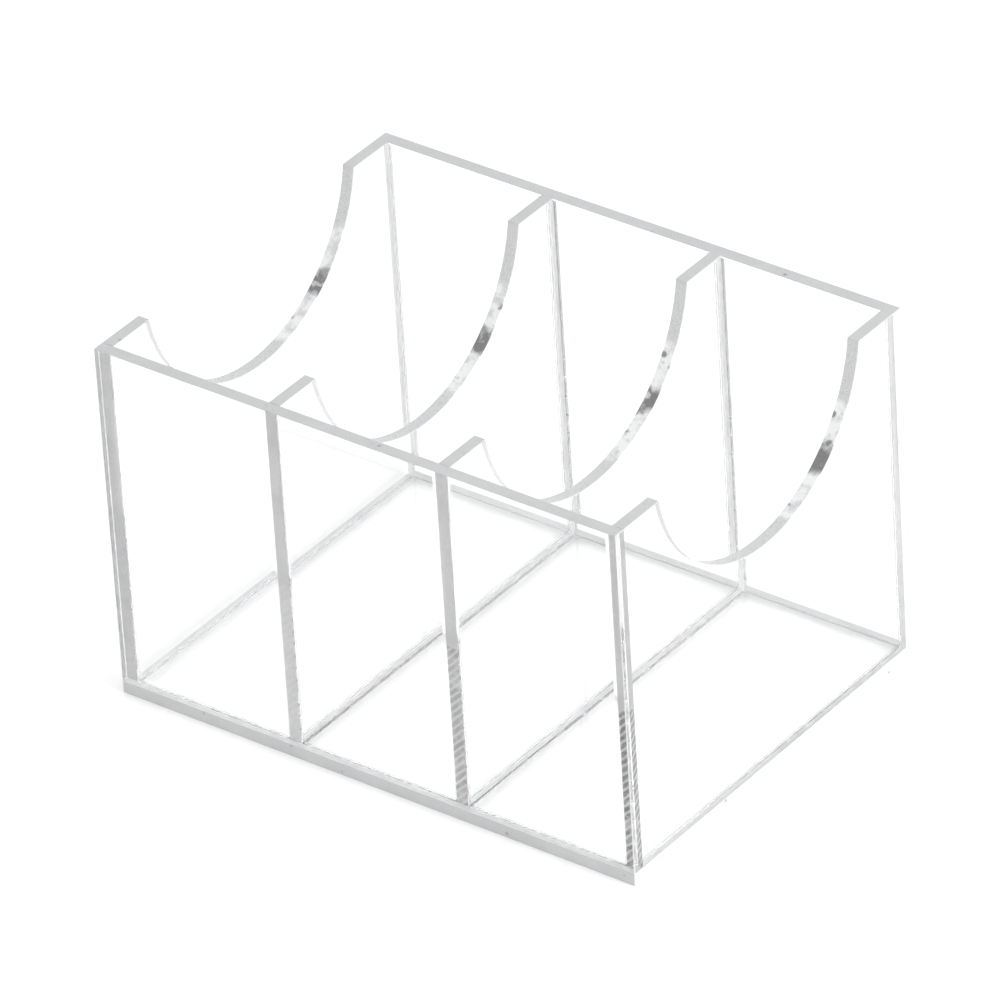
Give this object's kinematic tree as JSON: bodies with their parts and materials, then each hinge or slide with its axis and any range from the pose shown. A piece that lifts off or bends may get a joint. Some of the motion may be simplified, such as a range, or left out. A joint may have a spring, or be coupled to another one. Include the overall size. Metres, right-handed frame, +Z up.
{
  "type": "chip rack",
  "caption": "Free-standing clear acrylic chip rack: cemented open-topped bays between notched uprights hold stacked gaming chips and let fingers reach them.",
  "frame": {"origin": "centre of the underside of the base plate, on the surface that the rack stands on", "axes": "+X along the row of bays to the right end panel, +Y from the front panel to the back panel, +Z up"},
  "size_m": [0.1366, 0.103, 0.088],
  "materials": {
    "clear_acrylic_sheet": "clear colourless cast sheet, polished faces, cut edges that look grey",
    "acrylic_cement": "clear cured acrylic cement, slightly hazy, in small concave fillets"
  },
  "bodies": {
    "root": {"base_plate": "clear_acrylic_sheet", "front_panel": "clear_acrylic_sheet", "back_panel": "clear_acrylic_sheet", "left_end_panel": "clear_acrylic_sheet", "left_divider": "clear_acrylic_sheet", "right_divider": "clear_acrylic_sheet", "right_end_panel": "clear_acrylic_sheet", "cement_front_to_base": "acrylic_cement", "cement_back_to_base": "acrylic_cement", "cement_left_end_to_base": "acrylic_cement", "cement_left_divider_to_base": "acrylic_cement", "cement_right_divider_to_base": "acrylic_cement", "cement_right_end_to_base": "acrylic_cement", "cement_left_end_to_front": "acrylic_cement", "cement_left_divider_to_front": "acrylic_cement", "cement_right_divider_to_front": "acrylic_cement", "cement_right_end_to_front": "acrylic_cement", "cement_left_end_to_back": "acrylic_cement", "cement_left_divider_to_back": "acrylic_cement", "cement_right_divider_to_back": "acrylic_cement", "cement_right_end_to_back": "acrylic_cement"}
  },
  "joints": []
}
